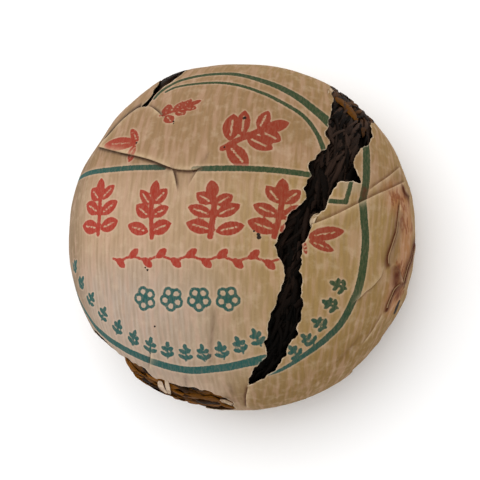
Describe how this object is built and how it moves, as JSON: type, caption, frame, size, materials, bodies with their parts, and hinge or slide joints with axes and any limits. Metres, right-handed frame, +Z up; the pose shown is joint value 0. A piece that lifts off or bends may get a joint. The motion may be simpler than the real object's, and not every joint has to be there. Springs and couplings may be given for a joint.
{
  "type": "pu erh tuocha",
  "caption": "Dome of pressed dark tea with a hollow underside, in a printed paper wrapper torn open across the top, pleated round the foot and twisted shut in the hollow.",
  "frame": {"origin": "centre of the foot's plane, under the middle of the dome", "axes": "+Z up through the dome, +Y towards the top of the print, +X to the print's right"},
  "size_m": [0.0849, 0.0855, 0.0442],
  "materials": {
    "paper": "soft unbleached cotton paper, matt, printed in green and red",
    "tea": "pressed dark tea leaves, dull with a faint sheen"
  },
  "bodies": {
    "root": {"wrapper": "paper", "tea_cake": "tea"}
  },
  "joints": []
}
